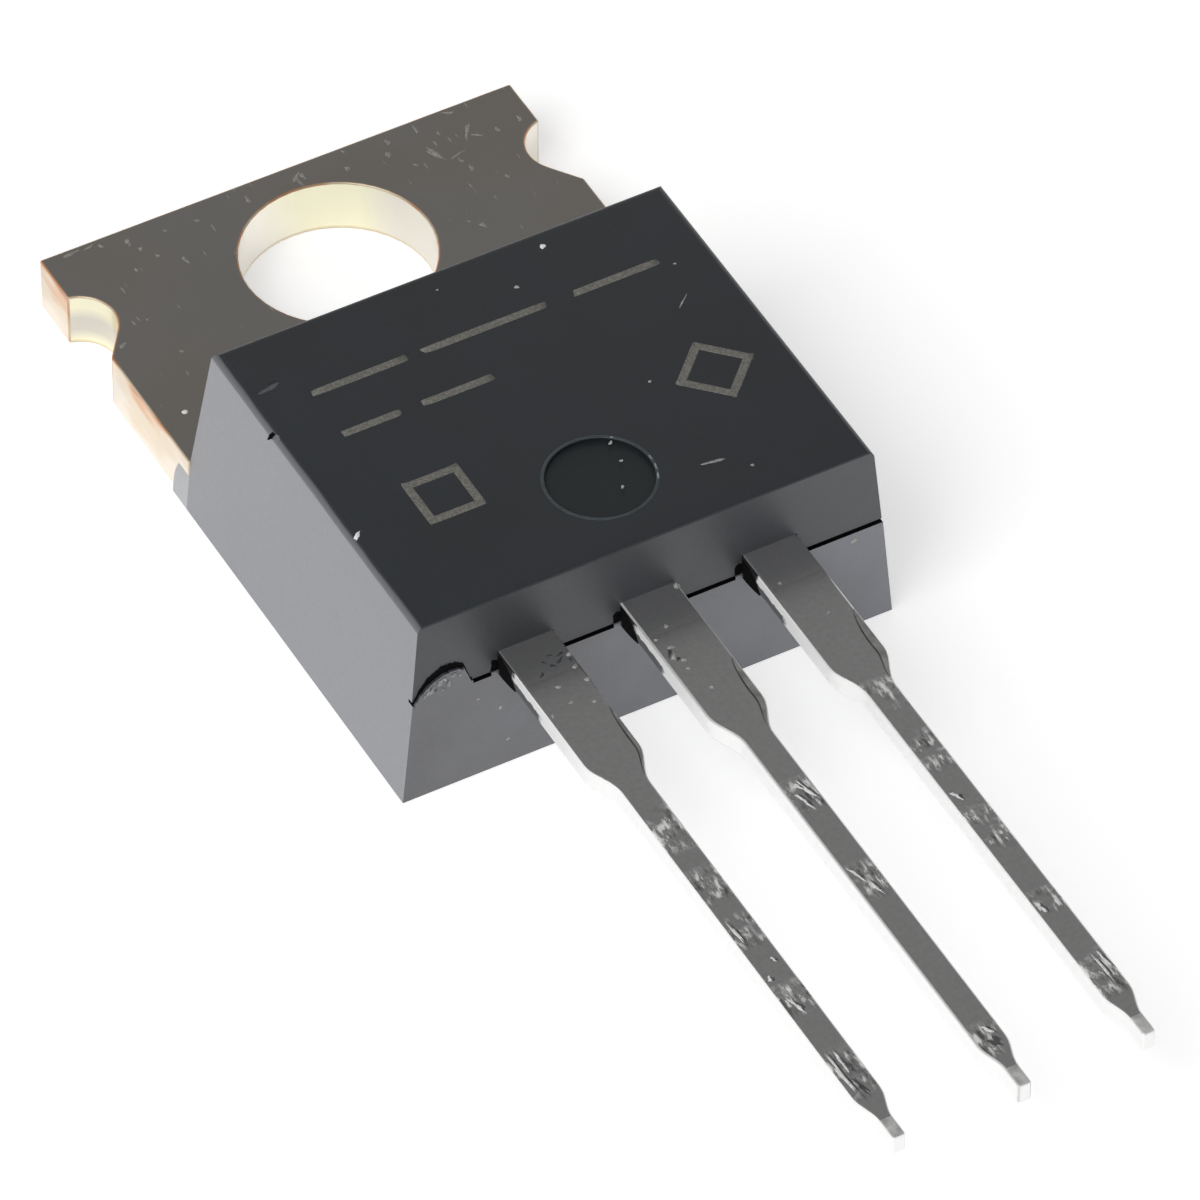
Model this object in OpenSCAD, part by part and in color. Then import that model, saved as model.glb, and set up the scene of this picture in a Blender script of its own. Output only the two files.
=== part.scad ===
// Three-lead power transistor in a moulded case with a screw-down heat-sink tab.
// Frame: the origin is the mounting hole's axis on the tab's back face, +Z comes out of the
// moulding's front face, +Y runs to the tab's bare end and the leads run to -Y. Millimetres.

/* [Mounting tab] */
// Width of the tab
tab_w = 10.12; // [9.9:0.02:10.2]
// Thickness of the tab's metal
tab_t = 1.2; // [1.14:0.02:1.4]
// Bare length of the tab, from its end to the moulding
tab_len = 6.15; // [6:0.05:6.7]
// Diameter of the mounting hole
hole_d = 3.8; // [3.5:0.02:3.9]
// Distance from the tab's end to the hole's centre
hole_y = 2.53; // [2.5:0.01:2.9]
// Radius of the round notch in each side of the tab
notch_r = 0.76; // [0.6:0.02:0.9]
// How far each notch reaches into the tab
notch_in = 0.6; // [0.4:0.02:0.7]
// Distance from the tab's end to the notches' centres
notch_y = 1.91; // [1.7:0.01:2.2]
// Angle at which a notch opens out again, from the tab's side
notch_slope = 36; // [28:1:45]

/* [Heat-spreader pad under the moulding] */
// Width of the pad
pad_w = 8.4; // [7.6:0.1:8.8]
// Length of tab and pad together, from the tab's end
pad_len = 12.4; // [11.7:0.1:12.8]
// Chamfer on the pad's two inner corners
pad_cham = 0.6; // [0.3:0.1:1]

/* [Moulding] */
// Height of the front face above the back face
body_h = 4.3; // [4.25:0.01:4.6]
// How far the moulding stands out past the tab on each side, at the back face
side_skin = 0.08; // [0.06:0.01:0.12]
// Distance from the tab's end to the moulding's far end
body_end = 14.72; // [14.4:0.02:15.2]
// Draft of the two sides
side_draft = 5.5; // [4:0.5:7]
// Draft of the face towards the tab
head_draft = 8.5; // [6:0.5:10]
// Draft of the lead end above the parting line
end_draft = 1.5; // [1:0.5:3]
// Rounding of the front face's long edges
edge_r = 0.18; // [0.1:0.01:0.25]
// Rounding of the front face's edge above the leads
end_edge_r = 0.06; // [0.04:0.01:0.1]
// Mismatch of the two mould halves at the parting line
mould_step = 0.04; // [0.02:0.01:0.08]
// Height of the groove along the parting line at the lead end
groove_h = 0.07; // [0.04:0.01:0.1]
// Depth of that groove
groove_t = 0.12; // [0.08:0.01:0.2]
// Gap between the groove's ends and the leads
groove_gap = 0.16; // [0.1:0.01:0.25]
// Radius of the rounded lip beside the tab
lip_r = 1; // [0.92:0.01:1.1]
// Height of the straight foot under that lip
lip_foot = 0.3; // [0.2:0.01:0.35]
// Diameter of the ejector dimple in the front face
dimple_d = 2.05; // [1.8:0.05:2.4]
// Depth of the ejector dimple
dimple_t = 0.08; // [0.05:0.01:0.12]
// Distance from the lead end to the dimple's centre
dimple_y = 1.84; // [1.7:0.02:2.2]

/* [Leads] */
// Distance between neighbouring leads
lead_pitch = 2.54; // [2.5:0.01:2.6]
// Height of the leads' underside, which is also the parting line
lead_z = 2.5; // [2.42:0.01:2.8]
// Thickness of the leads
lead_t = 0.45; // [0.38:0.01:0.6]
// Length of the leads outside the moulding
lead_len = 13.74; // [13.4:0.02:14.4]
// Width of the leads at the moulding
root_w = 1.16; // [1.14:0.01:1.3]
// Width of the leads beyond their shoulders
lead_w = 0.6; // [0.5:0.01:0.8]
// Distance from the moulding to the middle of the shoulders
shoulder_y = 3.7; // [3.4:0.05:4]
// Length over which a shoulder narrows
shoulder_len = 0.95; // [0.6:0.05:1.2]
// Width of the cropped stub at a lead's tip
tip_w = 0.27; // [0.2:0.01:0.35]
// Length of that stub
tip_len = 0.45; // [0.3:0.05:0.7]
// Length over which a lead narrows to its stub
tip_taper = 0.75; // [0.5:0.05:1]

/* [Lead ends inside the moulding] */
// Width of the bonding posts of the two outer leads
post_w = 2.3; // [1.9:0.05:2.6]
// Length of the bonding posts
post_len = 1.15; // [1:0.05:1.3]
// Distance from the moulding's end to the bonding posts
post_in = 0.7; // [0.6:0.05:0.9]
// Corner chamfer of the bonding posts
post_cham = 0.25; // [0.15:0.01:0.35]
// Distance from the moulding's end to the top of the middle lead's ramp
ramp_in = 0.95; // [0.8:0.05:1.1]
// Slope of the ramp that steps the middle lead down to the pad
ramp_angle = 60; // [55:1:70]

/* [Chip and bonds] */
// Width of the silicon chip
die_w = 2.9; // [2.6:0.1:3.3]
// Length of the silicon chip
die_len = 2.3; // [2:0.1:2.6]
// Thickness of the silicon chip
die_t = 0.3; // [0.25:0.01:0.38]
// Distance from the tab's end to the chip's centre
die_y = 9.6; // [9.4:0.1:10]
// Thickness of the solder under the chip
solder_t = 0.06; // [0.04:0.01:0.09]
// How far the solder shows around the chip
solder_rim = 0.12; // [0.08:0.01:0.2]
// Diameter of the gate's bond wire
gate_wire_d = 0.13; // [0.1:0.01:0.16]
// Diameter of the source's bond wire
source_wire_d = 0.3; // [0.25:0.01:0.38]
// Distance from the chip's edge to the gate wire's foot
gate_foot = 0.4; // [0.3:0.01:0.5]
// Distance from the chip's edge to the source wire's foot
source_foot = 0.75; // [0.6:0.01:0.9]
// Distance from a bonding post's edge to the wire's foot on it
post_foot = 0.6; // [0.5:0.01:0.7]
// Half the arc of a bond wire's loop
wire_arc = 45; // [40:1:50]

/* [Hidden] */
$fn = 64;
far = 40;

tab_end_y = hole_y;
mould_head_y = tab_end_y - tab_len;
mould_end_y = tab_end_y - body_end;
body_w = tab_w + 2 * side_skin;
pad_end_y = tab_end_y - pad_len;
lead_top = lead_z + lead_t;
die_bottom = tab_t + solder_t;
die_top = die_bottom + die_t;
die_cy = tab_end_y - die_y;
post_end_y = mould_end_y + post_in;
post_top_y = post_end_y + post_len;
foot_y = post_top_y - post_foot;

TAB = "#8e8a84";
LEAD = "#969694";
CHIP = "#5b6470";
SOLDER = "#b4b4b8";
WIRE = "#d9d9dc";
MOULD = "#36393e";

// Tab, pad and middle lead, stamped from one strip of two thicknesses

// What one side notch takes away: a circle and the wedge that opens out from it towards the leads.
module notch_2d() {
    cx = tab_w / 2 - notch_in + notch_r;
    cy = tab_end_y - notch_y;
    run = 2 * notch_in;
    translate([cx, cy]) {
        circle(r = notch_r);
        polygon([[0, 0],
                 [-notch_r * cos(notch_slope), -notch_r * sin(notch_slope)],
                 [-notch_r * cos(notch_slope) + run * sin(notch_slope),
                  -notch_r * sin(notch_slope) - run * cos(notch_slope)],
                 [notch_r, -notch_r * sin(notch_slope) - run * cos(notch_slope)],
                 [notch_r, 0]]);
    }
}

module tab_2d() {
    difference() {
        union() {
            translate([-tab_w / 2, mould_head_y]) square([tab_w, tab_len]);
            polygon([[-pad_w / 2, mould_head_y + 1],
                     [-pad_w / 2, pad_end_y + pad_cham],
                     [-pad_w / 2 + pad_cham, pad_end_y],
                     [pad_w / 2 - pad_cham, pad_end_y],
                     [pad_w / 2, pad_end_y + pad_cham],
                     [pad_w / 2, mould_head_y + 1]]);
        }
        circle(d = hole_d);
        for (side = [0, 1]) mirror([side, 0]) notch_2d();
    }
}

// Side view of the strip between pad and middle lead, in (distance towards the leads, height).
// Each bend's corner points are mitred, so the strip keeps its thickness on the slope.
module ramp_2d() {
    mitre = lead_t / 2 * tan(ramp_angle / 2);
    low = tab_t - lead_t;
    bend2 = -mould_end_y - ramp_in;
    bend1 = bend2 - (lead_z - low) / tan(ramp_angle);
    start = -pad_end_y - 1;
    polygon([[start, low], [bend1 + mitre, low], [bend2 + mitre, lead_z], [-mould_end_y, lead_z],
             [-mould_end_y, lead_top], [bend2 - mitre, lead_top], [bend1 - mitre, tab_t],
             [start, tab_t]]);
}

// Half-width of a lead at a distance from the moulding: it narrows along half a cosine wave.
function ease(t) = (1 - cos(180 * t)) / 2;
shoulder_pts = [for (i = [0 : 10]) [
    root_w / 2 - (root_w - lead_w) / 2 * ease(i / 10),
    -(shoulder_y - shoulder_len / 2 + shoulder_len * i / 10)]];
tip_pts = [for (i = [0 : 8]) [
    lead_w / 2 - (lead_w - tip_w) / 2 * ease(i / 8),
    -(lead_len - tip_len - tip_taper * (1 - i / 8))]];
bare_pts = concat(shoulder_pts, tip_pts, [[tip_w / 2, -lead_len]]);

// A lead seen from the front. Zero is the moulding's end face, and the lead starts inside it.
module lead_2d(inside) {
    side = concat([[root_w / 2, inside]], bare_pts);
    polygon(concat(side, [for (i = [len(side) - 1 : -1 : 0]) [-side[i][0], side[i][1]]]));
}

module tab_shape() {
    linear_extrude(tab_t) tab_2d();
    translate([-root_w / 2, 0, 0]) rotate([90, 0, 90]) linear_extrude(root_w) mirror([1, 0]) ramp_2d();
    translate([0, mould_end_y, lead_z]) linear_extrude(lead_t) lead_2d(ramp_in / 2);
}

module tab_and_drain_lead() {
    color(TAB) tab_shape();
}

// Outer leads, each with a bonding post inside the moulding

module post_2d() {
    polygon([[-post_w / 2 + post_cham, post_in], [post_w / 2 - post_cham, post_in],
             [post_w / 2, post_in + post_cham], [post_w / 2, post_in + post_len - post_cham],
             [post_w / 2 - post_cham, post_in + post_len],
             [-post_w / 2 + post_cham, post_in + post_len],
             [-post_w / 2, post_in + post_len - post_cham], [-post_w / 2, post_in + post_cham]]);
}

module outer_lead(x) {
    translate([x, mould_end_y, lead_z]) {
        linear_extrude(lead_t) lead_2d(post_in + post_len / 2);
        linear_extrude(lead_t) post_2d();
    }
}

module gate_lead() {
    color(LEAD) outer_lead(-lead_pitch);
}

module source_lead() {
    color(LEAD) outer_lead(lead_pitch);
}

// Chip, its solder and the two bond wires

module slab(w, l, z, t) {
    translate([-w / 2, die_cy - l / 2, z]) cube([w, l, t]);
}

module silicon_chip() {
    color(CHIP) slab(die_w, die_len, die_bottom, die_t);
}

module chip_solder() {
    color(SOLDER) slab(die_w + 2 * solder_rim, die_len + 2 * solder_rim, tab_t, solder_t);
}

// A wire loop from a foot on the chip to a foot on a bonding post. It is part of a ring in the
// upright plane through both feet; the ring is cut level with each of the two faces it stands on.
module wire_loop(from, to, d) {
    run = norm(to - from);
    rise = lead_top - die_top;
    chord = norm([run, rise]);
    tilt = atan2(rise, run);
    ring_r = chord / (2 * sin(wire_arc));
    drop = ring_r * cos(wire_arc);
    cx = run / 2 + drop * sin(tilt);
    cz = rise / 2 - drop * cos(tilt);
    split = 0.7 * run;
    translate([from[0], from[1], die_top]) rotate([0, 0, atan2(to[1] - from[1], to[0] - from[0])])
        intersection() {
            translate([cx, 0, cz]) rotate([90, 0, 0]) rotate_extrude() translate([ring_r, 0]) circle(d = d);
            union() {
                translate([-far, -d, 0]) cube([far + split, 2 * d, far]);
                translate([split - d, -d, rise]) cube([far, 2 * d, far]);
            }
        }
}

gate_pad = [-die_w / 2 + gate_foot, die_cy - die_len / 2 + gate_foot];
source_pad = [die_w / 2 - source_foot, die_cy - die_len / 2 + source_foot];

module gate_wire_shape() {
    wire_loop(gate_pad, [-lead_pitch, foot_y], gate_wire_d);
}

module source_wire_shape() {
    wire_loop(source_pad, [lead_pitch, foot_y], source_wire_d);
}

module gate_bond_wire() {
    color(WIRE) gate_wire_shape();
}

module source_bond_wire() {
    color(WIRE) source_wire_shape();
}

// Moulding, cast around everything above

// Centre of a rounding of radius r between the level line at body_h and a line that starts at
// x0 on height z0 and leans inwards by the angle lean.
function round_c(x0, z0, lean, r) = [x0 - (body_h - r - z0) * tan(lean) - r / cos(lean), body_h - r];

// Where that rounding leaves the leaning line.
function round_t(c, lean, r) = c + r * [cos(lean), sin(lean)];

// View along Y: two leaning sides with rounded upper corners.
module front_view_2d() {
    c = round_c(body_w / 2, 0, side_draft, edge_r);
    t = round_t(c, side_draft, edge_r);
    polygon([[body_w / 2, 0], t, [c[0], body_h], [-c[0], body_h], [-t[0], t[1]], [-body_w / 2, 0]]);
    for (side = [-1, 1]) translate([side * c[0], c[1]]) circle(r = edge_r);
}

// View along X, with y to the right: the lower half ends in a rounded lip towards the tab, and
// the upper half leans back from the tab's front face.
module side_view_2d() {
    h = round_c(mould_head_y, tab_t, head_draft, edge_r);
    ht = round_t(h, head_draft, edge_r);
    e = round_c(-mould_end_y, lead_z, end_draft, end_edge_r);
    et = round_t(e, end_draft, end_edge_r);
    polygon([[mould_head_y, tab_t], ht, [h[0], body_h], [-e[0], body_h], [-et[0], et[1]],
             [mould_end_y, lead_z], [mould_end_y, tab_t]]);
    translate(h) circle(r = edge_r);
    translate([-e[0], e[1]]) circle(r = end_edge_r);
    low_end = mould_end_y - mould_step;
    translate([low_end, 0]) square([mould_head_y - low_end, tab_t]);
    translate([low_end, 0]) square([mould_step + 1, lead_z]);
    lip_cy = mould_head_y - sqrt(pow(lip_r, 2) - pow(tab_t - lip_foot, 2));
    intersection() {
        union() {
            translate([lip_cy, lip_foot]) circle(r = lip_r);
            translate([lip_cy, 0]) square([lip_r, lip_foot]);
        }
        translate([lip_cy, 0]) square([lip_r + 1, tab_t]);
    }
}

module body_block() {
    intersection() {
        translate([0, far / 2, 0]) rotate([90, 0, 0]) linear_extrude(2 * far) front_view_2d();
        translate([-far / 2, 0, 0]) rotate([90, 0, 90]) linear_extrude(far) side_view_2d();
    }
}

// Groove under the parting line of the lead end. It stops beside each lead. The one beyond each
// outer lead runs out through the side.
module parting_groove() {
    land = root_w + 2 * groove_gap;
    between = lead_pitch - land;
    translate([0, mould_end_y + groove_t, lead_z - groove_h]) mirror([0, 1, 0]) {
        for (i = [0, 1]) translate([(i - 1) * lead_pitch + land / 2, 0, 0]) cube([between, 1, groove_h]);
        for (side = [0, 1]) mirror([side, 0, 0]) translate([lead_pitch + land / 2, 0, 0])
            cube([body_w, 1, groove_h]);
    }
}

module moulded_body() {
    color(MOULD) difference() {
        body_block();
        tab_shape();
        outer_lead(-lead_pitch);
        outer_lead(lead_pitch);
        slab(die_w, die_len, die_bottom, die_t);
        slab(die_w + 2 * solder_rim, die_len + 2 * solder_rim, tab_t, solder_t);
        gate_wire_shape();
        source_wire_shape();
        parting_groove();
        translate([0, mould_end_y + dimple_y, body_h - dimple_t]) cylinder(d = dimple_d, h = 1);
    }
}

tab_and_drain_lead();
gate_lead();
source_lead();
silicon_chip();
chip_solder();
gate_bond_wire();
source_bond_wire();
moulded_body();
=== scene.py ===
import bpy
import bmesh
import math
import numpy as np
from functools import partial
from mathutils import Matrix, Vector


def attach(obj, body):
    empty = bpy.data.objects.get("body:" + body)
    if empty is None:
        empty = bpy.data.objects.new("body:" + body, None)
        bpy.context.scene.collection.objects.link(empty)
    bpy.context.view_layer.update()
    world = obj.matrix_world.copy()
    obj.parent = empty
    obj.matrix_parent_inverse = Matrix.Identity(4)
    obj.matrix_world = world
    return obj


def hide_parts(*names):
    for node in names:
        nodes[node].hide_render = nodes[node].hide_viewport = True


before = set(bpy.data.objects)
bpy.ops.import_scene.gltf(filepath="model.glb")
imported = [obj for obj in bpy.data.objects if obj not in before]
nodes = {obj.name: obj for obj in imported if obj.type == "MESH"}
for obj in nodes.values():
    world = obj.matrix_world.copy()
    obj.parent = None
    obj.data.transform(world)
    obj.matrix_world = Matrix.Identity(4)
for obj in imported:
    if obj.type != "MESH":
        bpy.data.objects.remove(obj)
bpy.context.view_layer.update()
scene = bpy.context.scene
mm = 0.001
print("frame loaded:", len(nodes), "nodes")

# Landmarks of the part in millimetres, as its source has them
part = {
    "mouldHead": -3.62,  # y where the moulding meets the tab
    "mouldEnd": -12.19,  # y of the lead end at the parting line
    "partingZ": 2.5,
    "frontZ": 4.3,
    "tabTop": 1.2,
    "leadTop": 2.95,
    "leadPitch": 2.54,
    "stubStart": -25.45,  # y where the cropped stubs begin
    "dimple": (0.0, -10.35),
    "dimpleRadius": 1.025,
}
leadPlaces = (("gate", -part["leadPitch"]), ("drain", 0.0), ("source", part["leadPitch"]))


# sRGB hex to linear light: each channel through the standard curve
def toLinear(code):
    c = np.array([int(code[i:i + 2], 16) for i in (1, 3, 5)]) / 255
    return (*np.where(c <= 0.04045, c / 12.92, ((c + 0.055) / 1.055) ** 2.4).tolist(), 1.0)


# How often a pattern repeats in a metre when one feature is size millimetres wide
def perMetre(size):
    return 1000 / size


# Adds a node, sets its properties, fills its inputs with constants or links, and gives back its outputs. A
# Map Range goes from input 1 to 2 and gives 3 to 4, or 0 to 1. A Mix goes from 6 to 7, or 2 to 3, by 0
def addNode(tree, kind, inputs=None, **settings):
    node = tree.nodes.new("ShaderNode" + kind)
    for name, value in settings.items():
        setattr(node, name, value)
    for key, value in (inputs or {}).items():
        if isinstance(value, bpy.types.NodeSocket):
            tree.links.new(value, node.inputs[key])
        else:
            node.inputs[key].default_value = value
    return node.outputs


# Starts a material with a Principled shader. Gives back the material, addNode for its tree, the shader and
# the place on the object
def newMaterial(name, **constants):
    material = bpy.data.materials.new(name)
    material.use_nodes = True
    tree = material.node_tree
    tree.nodes.clear()
    add = partial(addNode, tree)
    surface = add("BsdfPrincipled", {key.replace("_", " "): value for key, value in constants.items()})[0]
    add("OutputMaterial", {"Surface": surface})
    return material, add, surface.node, add("TexCoord")["Object"]


# Ends a material: each tone lies over those before it by its share, the surface rises by height times deep
# mm, and the named inputs of the shader are linked
def endMaterial(add, shader, base, layers, height=None, strength=0.0, deep=0.0, **links):
    body = toLinear(base)
    for share, tone in layers:
        body = add("Mix", {0: share, 6: body, 7: toLinear(tone)}, data_type="RGBA")[2]
    links["Base Color"] = body
    if height:
        links["Normal"] = add("Bump", {"Strength": strength, "Distance": deep * mm, "Height": height})[0]
    for key, socket in links.items():
        shader.id_data.links.new(socket, shader.inputs[key.replace("_", " ")])


# Tin plate on copper alloy, matt from the bath: neutral grey, scuffed in places by the forming tools
leadFinish = {
    "tin": "#e2e2e1", "tinDull": "#cacac9", "scuffBright": "#fbfbf9", "smutDark": "#8a8a88",
    "roughness": 0.26, "scuffRoughness": 0.55, "scuffMetal": 0.35,
    "grain": 0.09, "patch": 0.5,  # mm, the plating's own grain and the size of a worn patch
    "scuffAcross": 0.11, "scuffAlong": 0.42,  # mm, size of a scuff
    # Levels of the patch noise and of the scuff noise, from none to all
    "wornFrom": (0.40, 0.52), "brightFrom": (0.53, 0.59), "darkFrom": (0.45, 0.38),
    "film": "#85868a", "filmLong": 1.0, "filmEdge": 0.03,  # resin film on the tops next to the moulding, mm
    "stub": ("#b9b9b8", "#e4e4e3"),  # cropped ends
    # Middle and half length in y, in mm, of the scuffed stretches of each lead
    "gateScuffs": ((-17.5, 0.6), (-19.1, 0.45), (-20.35, 0.4), (-22.2, 0.4), (-24.2, 0.6)),
    "drainScuffs": ((-18.0, 0.45), (-20.35, 0.45), (-24.7, 0.4)),
    "sourceScuffs": ((-16.5, 0.4), (-18.1, 0.5), (-20.2, 0.6), (-22.3, 0.3), (-24.3, 0.55)),
}


def makeTin(lead):
    look = leadFinish
    material, add, shader, place = newMaterial("scuffed_tin_plate_" + lead, Metallic=1.0,
                                               Roughness=look["roughness"])
    across, lengthwise = perMetre(look["scuffAcross"]), perMetre(look["scuffAlong"])
    drawn = add("Mapping", {"Vector": place, "Scale": (across, lengthwise, across)})[0]
    noises = ((drawn, 1.0, 4.0, 0.65), (place, perMetre(look["patch"]), 2.0, 0.5),
              (place, perMetre(look["grain"]), 3.0, 0.5))
    scuff, patch, grain = (add("TexNoise", {"Vector": vector, "Scale": scale, "Detail": detail,
                                            "Roughness": rough})["Fac"]
                           for vector, scale, detail, rough in noises)
    # Scuffed stretches: the amount falls from 1 in the middle of each to 0 at its ends
    along = add("SeparateXYZ", {0: place})["Y"]
    amount = 0.0
    for middle, half in look[lead + "Scuffs"]:
        away = add("Math", {0: along, 1: middle * mm}, operation="SUBTRACT")[0]
        away = add("Math", {0: away}, operation="ABSOLUTE")[0]
        here = add("MapRange", {"Value": away, 1: half * 1.15 * mm, 2: half * 0.6 * mm})[0]
        amount = add("Math", {0: here, 1: amount}, operation="MAXIMUM")[0]
    worn = add("MapRange", {"Value": patch, 1: look["wornFrom"][0], 2: look["wornFrom"][1]})[0]
    amount = add("Math", {0: amount, 1: worn}, operation="MULTIPLY")[0]
    shares = []
    for start, full in (look["brightFrom"], look["darkFrom"]):
        share = add("MapRange", {"Value": scuff, 1: start, 2: full})[0]
        shares.append(add("Math", {0: share, 1: amount}, operation="MULTIPLY")[0])
    bright, dark = shares
    end, soft = (part["mouldEnd"] - look["filmLong"]) * mm, look["filmEdge"] * mm
    film = add("MapRange", {"Value": along, 1: end - soft, 2: end + soft})[0]
    covered = add("Math", {0: film, 1: 0.5}, operation="MULTIPLY")[0]
    rough = add("MapRange", {"Value": bright, 3: look["roughness"], 4: look["scuffRoughness"]})[0]
    # Torn plating scatters light, so it turns less metallic where it is bright, and so does the resin film
    metal = add("MapRange", {"Value": bright, 3: 1.0, 4: look["scuffMetal"]})[0]
    metal = add("Math", {0: film, 1: -0.2, 2: metal}, operation="MULTIPLY_ADD")[0]
    height = add("Math", {0: scuff, 1: amount}, operation="MULTIPLY")[0]
    height = add("Math", {0: grain, 1: 0.05, 2: height}, operation="MULTIPLY_ADD")[0]
    layers = ((grain, look["tin"]), (dark, look["smutDark"]), (bright, look["scuffBright"]),
              (covered, look["film"]))
    endMaterial(add, shader, look["tinDull"], layers, height, 0.7, 0.03, Roughness=rough, Metallic=metal)
    return material


# Walls of the leads: sheared, then dipped bright. Their near-white, less metallic tin is partly painted light
# for the light from the left that the walls catch. Next to the moulding they are black: partly resin bled
# along them, partly painted shade and a painted reflection of the dark moulding. Beyond that a grey painted
# reflection of the lead end covers their lower half
wallFinish = {
    "tin": "#fafaf9", "tinPale": "#ffffff", "bleedAndShade": "#060607", "endReflection": "#5c5e61",
    "grain": 0.15,  # mm
    # In metres: how far the grain shifts the edges of the black and the grey, and the y or z from no share to
    # all of it
    "raggedY": 0.00045, "raggedZ": 0.00012,
    "bleedAndShadeY": (-0.01256, -0.01248), "nearY": (-0.01362, -0.01352), "endReflectionZ": (0.00279, 0.00277),
    "shinyY": (-0.0142, -0.0158), "shiny": (0.08, 0.75),  # metallic share from dull to bright
}


def makeTinWall(name):
    look = wallFinish
    material, add, shader, place = newMaterial(name, Metallic=0.15, Roughness=0.5)
    grain = add("TexNoise", {"Vector": place, "Scale": perMetre(look["grain"]), "Detail": 3.0})["Fac"]
    axes = add("SeparateXYZ", {0: place})
    ragged, wave = (add("Math", {0: grain, 1: look["ragged" + axis], 2: axes[axis]},
                        operation="MULTIPLY_ADD")[0] for axis in "YZ")
    bleedAndShade, near, endReflection = (add("MapRange", {"Value": value, 1: look[key][0], 2: look[key][1]})[0]
                         for value, key in ((ragged, "bleedAndShadeY"), (ragged, "nearY"), (wave, "endReflectionZ")))
    bleedAndShade, endReflection = (add("Math", {0: share, 1: near}, operation="MULTIPLY")[0] for share in (bleedAndShade, endReflection))
    resinAndShade = add("Math", {0: bleedAndShade, 1: endReflection}, operation="MAXIMUM")[0]
    (start, full), (dull, bright) = look["shinyY"], look["shiny"]
    shiny = add("MapRange", {"Value": axes["Y"], 1: start, 2: full, 3: dull, 4: bright})[0]
    metal = add("Mix", {0: resinAndShade, 2: shiny, 3: 0.0})[0]
    # Painted light: the near-white tin, and the grey painted reflection of the lead end; the black is partly
    # bled resin, partly painted shade
    layers = ((grain, look["tinPale"]), (endReflection, look["endReflection"]), (bleedAndShade, look["bleedAndShade"]))
    endMaterial(add, shader, look["tin"], layers, grain, 0.3, 0.02, Metallic=metal)
    return material


# Nickel plate on half-hard copper strip: warm grey and smooth, with short faint scratches from handling
# that crowd towards the free end
tabFinish = {
    "plate": "#bdb9b4", "plateDull": "#afaca8", "plateWarm": "#b6b0a9", "fleck": "#efebe5",
    "cloud": 2.2, "tint": 3.5, "grain": 0.12,  # mm
    "scratchTurns": (0.5, -0.9), "scratchAcross": 0.1, "scratchAlong": 0.55,  # radians and mm
    "tintFrom": (0.42, 0.6), "peakFrom": (0.74, 0.78), "peakShare": 0.22,  # levels of the noises
    "roughness": 0.30, "scratchRoughness": 0.65, "scratchMetal": 0.55,
}


def makePlate(name):
    look = tabFinish
    material, add, shader, place = newMaterial(name, Metallic=1.0, Roughness=look["roughness"])
    cloud, tint, grain = (
        add("TexNoise", {"Vector": place, "Scale": perMetre(look[key]), "Detail": detail})
        for key, detail in (("cloud", 3.0), ("tint", 1.0), ("grain", 2.0)))
    tint = add("SeparateColor", {0: tint["Color"]})[1]
    tint = add("MapRange", {"Value": tint, 1: look["tintFrom"][0], 2: look["tintFrom"][1]})[0]
    # Scratches: the peaks of a noise drawn out along one direction, thinned out away from the free end
    along = add("SeparateXYZ", {0: place})["Y"]
    crowd = add("MapRange", {"Value": along, 1: -0.0030, 2: 0.0020, 3: 0.03, 4: 0.0})[0]
    across, lengthwise = perMetre(look["scratchAcross"]), perMetre(look["scratchAlong"])
    total = 0.0
    for turn in look["scratchTurns"]:
        turned = add("Mapping", {"Vector": place, "Rotation": (0.0, 0.0, turn),
                                 "Scale": (across, lengthwise, lengthwise)})[0]
        peak = add("TexNoise", {"Vector": turned, "Scale": 1.0, "Detail": 1.0})["Fac"]
        peak = add("Math", {0: peak, 1: crowd}, operation="SUBTRACT")[0]
        peak = add("MapRange", {"Value": peak, 1: look["peakFrom"][0], 2: look["peakFrom"][1],
                                4: look["peakShare"]})[0]
        total = add("Math", {0: peak, 1: total}, operation="MAXIMUM")[0]
    rough = add("MapRange", {"Value": total, 3: look["roughness"], 4: look["scratchRoughness"]})[0]
    metal = add("MapRange", {"Value": total, 3: 1.0, 4: look["scratchMetal"]})[0]
    height = add("Math", {0: grain["Fac"], 1: 0.05, 2: total}, operation="MULTIPLY_ADD")[0]
    layers = ((cloud["Fac"], look["plate"]), (tint, look["plateWarm"]), (total, look["fleck"]))
    endMaterial(add, shader, look["plateDull"], layers, height, 0.5, 0.03, Roughness=rough, Metallic=metal)
    return material


# Cut edges of the copper strip after plating. A sheared wall shows copper in the burnished band under its
# front edge, and the torn part below it took the plating and is nearly white. Hole and notches are punched
# clean and plated thin, so the copper tints them yellow. Rims are worn brassy
edgeFinish = {
    # Tones over the bright one, each with its level of bareness from no share to all of it
    "bright": "#ebe2d6", "layers": (("#e4d6c2", 0.1, 0.4), ("#ddb08c", 0.68, 0.90), ("#b9805f", 0.92, 1.04)),
    "bandLong": 1.3, "bandHigh": 0.3,  # mm, size of the bands along a sheared wall
    "highlightEnds": ((-0.0013, -0.0006), (-0.0024, -0.0031)),  # y in metres, from bare copper to a painted highlight
    "boreCream": "#f3efe6", "boreYellow": "#efebd0", "line": "#cbbb90", "grey": "#c9c4c0",
    "boreCloud": 1.2, "streak": (0.25, 0.25, 1.5),  # mm
    "rimPlated": "#d8c6ab", "rimBare": "#cf9a73", "rimWear": 0.9,  # mm
    "roughness": 0.3,
}


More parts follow.
